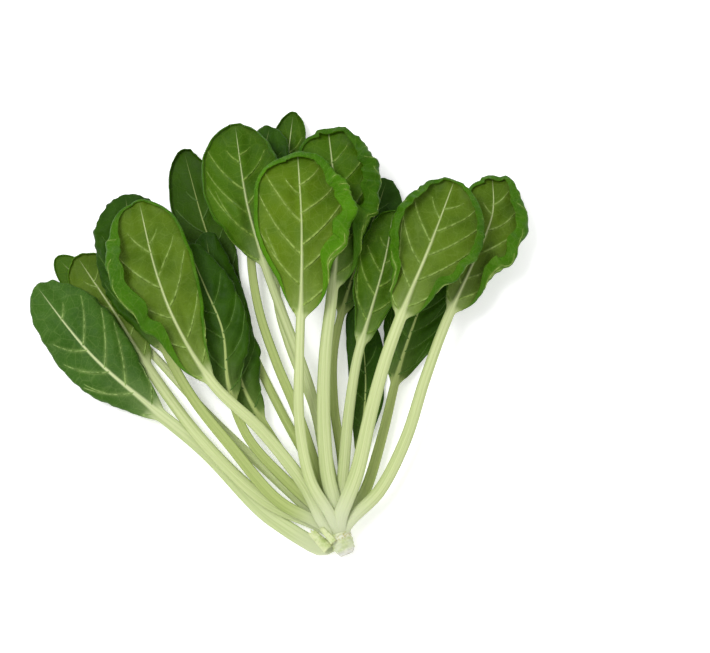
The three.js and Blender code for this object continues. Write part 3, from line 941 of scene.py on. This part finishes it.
    def build_veins(self) -> bpy.types.Object:
        """Raises the side veins: Geometry Nodes sweep a tapering round section along the lines.

        Returns:
            The leaf's veins as one plain mesh.
        """
        points, edges, radii = [], [], []
        for across, along, width in self.vein_lines:
            if along.max() > self.length - 0.5:
                keep = along <= self.length - 0.5
                across, along, width = across[keep], along[keep], width[keep]
            if len(across) < 4:
                continue
            for stand, share in ((BLADE.sheet / 2 + BLADE.vein_height, 0.8), (0.04 - BLADE.sheet / 2, 0.6)):
                place, _ = self.place(across, along, np.full(len(across), stand))
                place[:, 2] = np.maximum(place[:, 2], width * share)
                first = len(points)
                points.extend((place * MM + self.shift).tolist())
                radii.extend((width * share * MM).tolist())
                edges.extend([(first + k, first + k + 1) for k in range(len(across) - 1)])
        mesh = bpy.data.meshes.new(self.plan.name + "_veins")
        mesh.from_pydata(points, edges, [])
        layer = mesh.attributes.new("vein_radius", "FLOAT", "POINT")
        layer.data.foreach_set("value", radii)
        lines = bpy.data.objects.new(self.plan.name + "_veins", mesh)
        bpy.context.scene.collection.objects.link(lines)
        return swept_by_nodes(lines, VeinTree.get(self.vein_material))

    # ---- skin

    def build(self) -> list[bpy.types.Object]:
        """Makes the leaf's skin and veins and ties them to the frame.

        Returns:
            The leaf's pieces.
        """
        skin = self._skin()
        veins = self.build_veins()
        for piece in (skin, veins):
            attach(piece, ROOT)
        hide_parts(self.plan.name)
        return [skin, veins]

    def _skin(self) -> bpy.types.Object:
        """Makes the closed skin: rings over one face and back under the other.

        Returns:
            The skin, closed at the foot and the tip.
        """
        plan = self.plan
        inside = STALK.into_crown * self.midrib.before
        stalk_rows = np.linspace(-inside, self.stalk_end, STALK_ROWS, endpoint=False)
        turn = np.linspace(0, 1, BLADE_ROWS, endpoint=False)
        blade_rows = self.stalk_end + self.blade_length * (1 - (1 - turn) ** 1.4)
        rows = np.concatenate([stalk_rows, blade_rows])
        steps = np.linspace(0, 1, ACROSS + 1)
        reach = np.concatenate([-steps[::-1], steps[1:]])
        ring_reach = np.concatenate([reach, reach[::-1][1:-1]])
        on_first = np.concatenate([np.ones(len(reach), bool), np.zeros(len(reach) - 2, bool)])
        way = np.repeat(rows[:, None], len(ring_reach), axis=1)
        share = np.repeat(ring_reach[None, :], len(rows), axis=0)
        left, right = self._widths(way, 0), self._widths(way, 1)
        rib, edge, opened = (np.where(share < 0, a, b) for a, b in zip(left, right))
        round_share = np.sin(np.abs(share) * math.pi / 2)
        spread_share = 0.5 * np.abs(share) + 0.5 * (3 * share ** 2 - 2 * np.abs(share) ** 3)
        side = np.sign(share) * edge * (round_share + (spread_share - round_share) * opened)
        keel_face = np.repeat(on_first[None, :], len(rows), axis=0) == (plan.face is Face.UNDERSIDE_UP)
        blade = np.clip((way - self.stalk_end) / self.blade_length, 0, 1)
        slimmer = BLADE.rib_share + (1 - BLADE.rib_share) * np.exp(-blade / BLADE.rib_fall)
        rib = rib * slimmer
        vein = self.vein_mask(side, way) * opened
        stand = self._stand(side, way, rib, edge, opened, keel_face, vein)
        point, folded = self.place(side, way, stand)

        foot, _ = self.place(np.array([0.0]), np.array([-inside - 0.5]), np.array([0.4]))
        tip, _ = self.place(np.array([0.0]), np.array([self.length - 0.01]), np.array([0.0]))
        points = np.vstack([point.reshape(-1, 3), foot, tip]) * MM + self.shift
        faces = tube_faces(len(rows), len(ring_reach))
        made = make_mesh(plan.name + "_skin", points, faces, self.material)

        midrib_mask = np.exp(-(side / np.maximum(0.75 * rib, 0.05)) ** 4) * smooth(rib, 0.05, 0.3)
        pale_base = 0.4 * np.exp(-blade / 0.14) * np.exp(-(side / 9.0) ** 2)
        wing = opened * (1 - midrib_mask) * (1 - pale_base)
        upper = np.where(keel_face, 0.0, 1.0)
        at_edge = np.abs(share) > 0.999
        upper = np.where(at_edge, 0.5, upper)
        foot_share = 1 - smooth(way, -8, 22)
        extra = np.array([0.0, 0.0])
        # the last value, the cube of the share across, puts painted shade on the stalk's sides
        pair = ((upper, extra), (wing, np.array([0.0, 1.0])), (vein, extra), (folded, np.array([0.0, 1.0])),
                (foot_share, np.array([1.0, 0.0])), (blade, np.array([0.0, 1.0])),
                (np.abs(share) ** 3, extra))
        names = ("leaf_upper", "leaf_blade", "leaf_vein", "leaf_rim", "leaf_foot", "leaf_up", "leaf_flank_painted_shade")
        for name, (values, ends) in zip(names, pair):
            set_numbers(made, name, np.concatenate([values.ravel(), ends]))
        self._set_uv(made, side, way)
        return made

    def _stand(self, side: np.ndarray, way: np.ndarray, rib: np.ndarray, edge: np.ndarray, opened: np.ndarray,
               keel_face: np.ndarray, vein: np.ndarray) -> np.ndarray:
        """Works out how far each point stands from the middle of the sheet.

        Args:
            side: distance to the right of the midrib, in millimetres.
            way: distance along it.
            rib: half-width of the midrib.
            edge: half-width of the leaf.
            opened: how far the blade has opened, 0 to 1.
            keel_face: which points lie on the keeled face.
            vein: how much each point belongs to a side vein.

        Returns:
            Signed distances towards the underside, in millimetres.
        """
        across = np.clip(np.abs(side) / np.maximum(edge, 1e-6), 0, 1)
        blade = np.clip((way - self.stalk_end) / self.blade_length, 0, 1)
        keel_stalk = STALK.keel * np.sqrt(np.clip(1 - across ** 2, 0, 1))
        slope = np.clip((across - 0.7) / 0.3, 0, 1)
        channel_stalk = STALK.channel * np.sqrt(1 - slope ** 2) * (1 - 0.25 * np.cos(across * math.pi / 2))
        ribs = 1 + 0.02 * np.cos(side * 4.4) * (1 - opened)
        sheet = np.minimum(BLADE.sheet / 2, 0.4 * edge) * np.clip((1 - across) * 40, 0, 1) ** 0.5
        ridge = np.exp(-(side / np.maximum(0.8 * rib, 0.05)) ** 2)
        keel_height = STALK.keel * 0.95 * (1 - blade) ** 0.7 - BLADE.sheet / 2
        keel_blade = sheet + keel_height * ridge * np.sign(1 - across)
        keel_blade = np.maximum(keel_blade, sheet * 0.5) + BLADE.vein_height * vein
        channel_blade = sheet + 0.5 * STALK.channel * (1 - blade) ** 1.2 * ridge
        channel_blade = channel_blade - 0.5 * BLADE.vein_height * vein
        keel = (keel_stalk + (keel_blade - keel_stalk) * opened) * ribs
        channel = channel_stalk + (channel_blade - channel_stalk) * opened
        closed = across > 0.9999
        return np.where(closed, 0.0, np.where(keel_face, keel, -channel))

    @staticmethod
    def _set_uv(made: bpy.types.Object, side: np.ndarray, way: np.ndarray) -> None:
        """Writes the flat place of every face corner, in metres, as the mesh's UV map.

        Args:
            made: the skin.
            side: distance to the right of the midrib, in millimetres.
            way: distance along it.
        """
        flat = np.stack([side.ravel(), way.ravel()], axis=1) * MM
        flat = np.vstack([flat, [0.0, way.min() * MM], [0.0, way.max() * MM]])
        layer = made.data.uv_layers.new(name="UVMap")
        corners = np.empty(len(made.data.loops), dtype=np.int32)
        made.data.loops.foreach_get("vertex_index", corners)
        layer.data.foreach_set("uv", flat[corners].astype(np.float32).ravel())


class VeinTree:
    """The Geometry Nodes tree that turns vein lines into raised veins."""

    made: dict[str, bpy.types.NodeTree] = {}

    @classmethod
    def get(cls, material: bpy.types.Material) -> bpy.types.NodeTree:
        """Gives the tree for a finish, built the first time it is asked for.

        Args:
            material: the veins' finish.

        Returns:
            The tree.
        """
        if material.name not in cls.made:
            cls.made[material.name] = cls._build(material)
        return cls.made[material.name]

    @staticmethod
    def _build(material: bpy.types.Material) -> bpy.types.NodeTree:
        """Builds the tree: lines to curves, a section scaled by vein_radius, then the finish.

        Args:
            material: the veins' finish.

        Returns:
            The tree.
        """
        tree = bpy.data.node_groups.new("raised_veins_" + material.name, "GeometryNodeTree")
        tree.interface.new_socket("Geometry", in_out="INPUT", socket_type="NodeSocketGeometry")
        sides = tree.interface.new_socket("Section Sides", in_out="INPUT", socket_type="NodeSocketInt")
        sides.default_value = VEIN_SIDES
        scale = tree.interface.new_socket("Thickness", in_out="INPUT", socket_type="NodeSocketFloat")
        scale.default_value = 1.0
        tree.interface.new_socket("Geometry", in_out="OUTPUT", socket_type="NodeSocketGeometry")
        source = node(tree, "NodeGroupInput")
        curve = node(tree, "GeometryNodeMeshToCurve")
        radius = node(tree, "GeometryNodeInputNamedAttribute", data_type="FLOAT", in_Name="vein_radius")
        times = node(tree, "ShaderNodeMath", operation="MULTIPLY")
        set_radius = node(tree, "GeometryNodeSetCurveRadius")
        section = node(tree, "GeometryNodeCurvePrimitiveCircle", in_Radius=1.0)
        sweep = node(tree, "GeometryNodeCurveToMesh")
        sweep.inputs["Fill Caps"].default_value = True
        real = node(tree, "GeometryNodeRealizeInstances")
        shade = node(tree, "GeometryNodeSetShadeSmooth")
        dress = node(tree, "GeometryNodeSetMaterial")
        dress.inputs["Material"].default_value = material
        result = node(tree, "NodeGroupOutput")
        link = tree.links.new
        link(source.outputs["Geometry"], curve.inputs["Mesh"])
        link(radius.outputs["Attribute"], times.inputs[0])
        link(source.outputs["Thickness"], times.inputs[1])
        link(curve.outputs["Curve"], set_radius.inputs["Curve"])
        link(times.outputs[0], set_radius.inputs["Radius"])
        link(source.outputs["Section Sides"], section.inputs["Resolution"])
        link(set_radius.outputs["Curve"], sweep.inputs["Curve"])
        link(section.outputs["Curve"], sweep.inputs["Profile Curve"])
        if "Scale" in sweep.inputs:
            link(times.outputs[0], sweep.inputs["Scale"])
        link(sweep.outputs["Mesh"], real.inputs["Geometry"])
        link(real.outputs["Geometry"], shade.inputs["Geometry"])
        link(shade.outputs["Geometry"], dress.inputs["Geometry"])
        link(dress.outputs["Geometry"], result.inputs["Geometry"])
        return tree


def swept_by_nodes(lines: bpy.types.Object, tree: bpy.types.NodeTree) -> bpy.types.Object:
    """Runs a Geometry Nodes tree on an object and keeps the result as a plain mesh.

    Args:
        lines: the object that the tree works on.
        tree: the tree.

    Returns:
        The same object with its new mesh and no modifier.
    """
    modifier = lines.modifiers.new("sweep", "NODES")
    modifier.node_group = tree
    for item in tree.interface.items_tree:
        if item.in_out == "INPUT" and item.socket_type == "NodeSocketInt":
            modifier[item.identifier] = VEIN_SIDES
        if item.in_out == "INPUT" and item.socket_type == "NodeSocketFloat":
            modifier[item.identifier] = 1.0
    bpy.context.view_layer.update()
    evaluated = lines.evaluated_get(bpy.context.evaluated_depsgraph_get())
    plain = bpy.data.meshes.new_from_object(evaluated)
    lines.modifiers.remove(modifier)
    old = lines.data
    lines.data = plain
    plain.name = lines.name
    bpy.data.meshes.remove(old)
    return lines


# ---------------------------------------------------------------- the crown and stubs

@dataclass
class Crown:
    """The short stump that the stalks grow from, with its root cut and the scars of lost leaves."""

    foot: tuple[float, float, float] = (6, -12, 8.6)
    apex: tuple[float, float, float] = (-2, 8, 10.6)
    profile: tuple[tuple[float, float], ...] = (
        (6, 0), (7.4, 0.1), (8.3, 0.35), (7.6, 0.62), (5.4, 0.86), (2.6, 0.98))
    slimmed: tuple[float, ...] = (3.6, 5.3, 6.4, 7.2, 5.4, 2.6)
    sides: int = 72
    rows: int = 60
    cut_rows: int = 12

    def middle(self) -> np.ndarray:
        """Works out the middle of the plain turned shape's box.

        Returns:
            The middle, in millimetres.
        """
        foot, apex = np.array(self.foot), np.array(self.apex)
        axis = apex - foot
        way = axis / np.linalg.norm(axis)
        lean = np.sqrt(1 - way ** 2)
        lows, highs = [], []
        for radius, share in ((0, 0), *self.profile, (0, 1)):
            centre = foot + axis * share
            lows.append(centre - radius * lean)
            highs.append(centre + radius * lean)
        return (np.min(lows, axis=0) + np.max(highs, axis=0)) / 2

    def build(self, shift: np.ndarray, material: bpy.types.Material) -> bpy.types.Object:
        """Makes the stump with lumps, ring scars and a dished root cut.

        Args:
            shift: where the crown's own frame lies, in metres.
            material: its finish.

        Returns:
            The piece.
        """
        foot, apex = np.array(self.foot), np.array(self.apex)
        length = float(np.linalg.norm(apex - foot))
        axis = (apex - foot) / length
        right = np.cross(axis, (0, 0, 1.0))
        right /= np.linalg.norm(right)
        up = np.cross(right, axis)
        shares = [0.0, *(share for _, share in self.profile), 1.0]
        radii = [0.0, *self.slimmed, 0.0]
        cut = np.linspace(0, 1, self.cut_rows, endpoint=False)
        walk = np.concatenate([cut, np.linspace(1, len(shares) - 1, self.rows)])
        share = np.interp(walk, range(len(shares)), shares)
        radius = np.interp(walk, range(len(radii)), radii)
        lumps, scars = Ripple(901, 6.0), Ripple(902, 2.2)
        angle = np.linspace(0, 2 * math.pi, self.sides, endpoint=False)
        points = []
        for row, (s, r) in enumerate(zip(share, radius)):
            around = 8.0 * angle
            level = np.full(self.sides, s * length)
            between = 0 < row < len(share) - 1
            swell = 0.35 * lumps.at(around, level) if between else 0 * angle
            rough = 0.10 * scars.at(around, level)
            ring = 0.25 * math.sin(s * length * 2.6) * (0.05 < s < 0.8)
            size = np.clip(r + (swell + rough + ring) * min(1.0, r / 3), 0, None)
            dish = 0.8 * (1 - (r / 6) ** 2) if walk[row] < 1 else 0.0
            centre = foot + axis * (s * length + dish)
            points.append(centre + np.cos(angle)[:, None] * size[:, None] * right
                          + np.sin(angle)[:, None] * size[:, None] * up)
        stacked = np.vstack([*points[1:-1], points[0][:1], points[-1][:1]])
        faces = tube_faces(len(points) - 2, self.sides)
        made = make_mesh("crown_flesh", stacked * MM + shift, faces, material)
        along = np.concatenate([np.repeat(share[1:-1], self.sides), [0.0, 1.0]])
        set_numbers(made, "crown_cut", 1 - smooth(along, 0.06, 0.2))
        set_numbers(made, "crown_scar", np.exp(-((along - 0.5) / 0.07) ** 2))
        face_outwards(made)
        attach(made, ROOT)
        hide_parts("crown")
        return made


def face_outwards(made: bpy.types.Object) -> None:
    """Turns a closed mesh's faces round if it encloses a negative volume.

    Args:
        made: the mesh's object.
    """
    mesh = made.data
    mesh.calc_loop_triangles()
    total = 0.0
    for triangle in mesh.loop_triangles:
        a, b, c = (mesh.vertices[k].co for k in triangle.vertices)
        total += a.dot(b.cross(c))
    if total < 0:
        mesh.flip_normals()


@dataclass
class Stub:
    """What is left of a trimmed leaf: a flattened length of stalk with a ragged cut."""

    node_name: str
    start: tuple[float, float, float]
    end: tuple[float, float, float]
    half_width: float
    flatness: float = 0.6
    sides: int = 40
    rows: int = 22

    def build(self, shift: np.ndarray, material: bpy.types.Material) -> bpy.types.Object:
        """Makes the stub with ribs along it and an uneven end.

        Args:
            shift: where the head's own frame lies, in metres.
            material: its finish.

        Returns:
            The piece.
        """
        start, end = np.array(self.start, float), np.array(self.end, float)
        way = end - start
        length = float(np.linalg.norm(way))
        way /= length
        right = np.cross(way, (0, 0, 1.0))
        right /= np.linalg.norm(right)
        up = np.cross(right, way)
        angle = np.linspace(0, 2 * math.pi, self.sides, endpoint=False)
        ragged = Ripple(int(self.half_width * 10), 3.0)
        rings = []
        for row in range(self.rows + 1):
            share = row / self.rows
            size = self.half_width * (1.25 - 0.4 * share) * (1 + 0.04 * np.cos(9 * angle))
            cut = share * 0.9 * ragged.at(4 * angle, 0 * angle)
            centre = start + way * (length * (-0.8 + 1.75 * share))
            rings.append(centre + np.outer(np.cos(angle) * size, right)
                         + np.outer(np.sin(angle) * size * self.flatness, up) + np.outer(cut, way))
        for shrink in (0.8, 0.45):
            last = rings[self.rows]
            middle = last.mean(axis=0)
            rings.append(middle + (last - middle) * shrink - way * (1 - shrink) * 0.7)
        tips = np.vstack([rings[0].mean(axis=0), rings[-1].mean(axis=0)])
        faces = tube_faces(len(rings), self.sides)
        points = np.vstack([*rings, tips]) * MM + shift
        made = make_mesh(self.node_name + "_flesh", points, faces, material)
        face_outwards(made)
        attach(made, ROOT)
        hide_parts(self.node_name)
        return made


# ---------------------------------------------------------------- room

@dataclass(frozen=True)
class Studio:
    """Floor, light and camera: metres, an elevation in degrees and a lens in millimetres."""

    elevation: float = 76.0
    distance: float = 1.0
    lens: float = 85.0
    target: tuple[float, float, float] = (0.0106, 0.1219, 0.025)
    floor_size: float = 16.0

    def build(self, shift: np.ndarray) -> None:
        """Sets up the room round the head.

        Args:
            shift: where the head's own frame lies, in metres.
        """
        scene = bpy.context.scene
        scene.view_settings.view_transform = "Standard"
        target = Vector(self.target) + Vector(shift.tolist())
        tilt = math.radians(self.elevation)
        place = target + Vector((0, -math.cos(tilt), math.sin(tilt))) * self.distance
        lens = bpy.data.cameras.new("camera")
        lens.lens = self.lens
        lens.clip_start = 0.01
        camera = bpy.data.objects.new("camera", lens)
        camera.location = place
        camera.rotation_euler = (target - place).to_track_quat("-Z", "Y").to_euler()
        scene.collection.objects.link(camera)
        scene.camera = camera
        self._floor()
        self._light("key", (-0.5, 0.1, 1.35), target, 0.5, 12.0)
        self._light("fill", (0.6, -0.7, 1.1), target, 1.2, 4.0)
        self._light("back", (0.1, 1.2, 1.0), target, 1.2, 3.5)
        world = bpy.data.worlds.new("world")
        world.use_nodes = True
        world.node_tree.nodes["Background"].inputs[0].default_value = (1, 1, 1, 1)
        world.node_tree.nodes["Background"].inputs[1].default_value = 0.55
        scene.world = world

    def _floor(self) -> None:
        """A plain pale floor just under the head."""
        half = self.floor_size / 2
        corners = np.array([(-half, -half, 0), (half, -half, 0), (half, half, 0), (-half, half, 0)], float)
        corners[:, 2] = -FLOOR_DEPTH
        book = NodeBook("floor")
        book.shader.inputs["Base Color"].default_value = (0.93, 0.93, 0.93, 1)
        book.shader.inputs["Roughness"].default_value = 0.9
        book.shader.inputs["Emission Color"].default_value = (1, 1, 1, 1)
        book.shader.inputs["Emission Strength"].default_value = FLOOR_GLOW
        make_mesh("floor", corners, [(0, 1, 2, 3)], book.material)

    @staticmethod
    def _light(name: str, place: tuple[float, float, float], target: Vector, size: float,
               power: float) -> None:
        """Adds a soft square light that points at the head.

        Args:
            name: of the light.
            place: where it stands.
            target: what it points at.
            size: its side.
            power: in watts.
        """
        lamp = bpy.data.lights.new(name, "AREA")
        lamp.size = size
        lamp.energy = power
        made = bpy.data.objects.new(name, lamp)
        made.location = place
        made.rotation_euler = (target - Vector(place)).to_track_quat("-Z", "Y").to_euler()
        bpy.context.scene.collection.objects.link(made)


# ---------------------------------------------------------------- assembly

def vein_material(finish: LeafFinish) -> bpy.types.Material:
    """Skin of the raised veins: the vein colour with faint streaks.

    Args:
        finish: the leaf's colours.

    Returns:
        The material.
    """
    book = NodeBook(finish.name + "_vein")
    streaks = book.noise(book.mapped("Object", (400, 400, 400)), 2.0)
    book.join(book.mix(book.ramp(streaks, 0.3, 0.7), linear(finish.vein), linear(finish.under)),
              book.shader.inputs["Base Color"])
    book.surface(0.5, 0.35, 0.1, (0.6, 1.0, 0.3))
    return book.material


def main() -> None:
    """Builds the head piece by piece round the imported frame."""
    logging.basicConfig(level=logging.INFO, format="%(name)s: %(message)s")
    crown = Crown()
    low, high = (np.array(corner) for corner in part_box("crown"))
    shift = (low + high) / 2 - crown.middle() * MM
    LOG.info("head frame at %s", np.round(shift, 5))
    Studio().build(shift)
    crown_finish = crown_material()
    stub_finish = flesh_material("stub_flesh", "D2DAA8", "AFC07A", "8E8B50", 0.25)
    crown.build(shift, crown_finish)
    for stub in (Stub("cut_stub_broad", (-9.5, -4.5, 12), (-15, 1, 12.6), 2.7),
                 Stub("cut_stub_small", (-5, -2, 17.2), (-9, 2.5, 17.4), 1.7)):
        stub.build(shift, stub_finish)
        LOG.info("made %s", stub.node_name)
    skins = {plan.finish.name: leaf_material(plan.finish) for plan in PLANS}
    veins = {plan.finish.name: vein_material(plan.finish) for plan in PLANS}
    for plan in PLANS:
        pieces = Leaf(plan, shift, skins[plan.finish.name], veins[plan.finish.name]).build()
        for piece in pieces:
            LOG.info("made %s: %d faces", piece.name, len(piece.data.polygons))


if __name__ == "__main__":
    main()
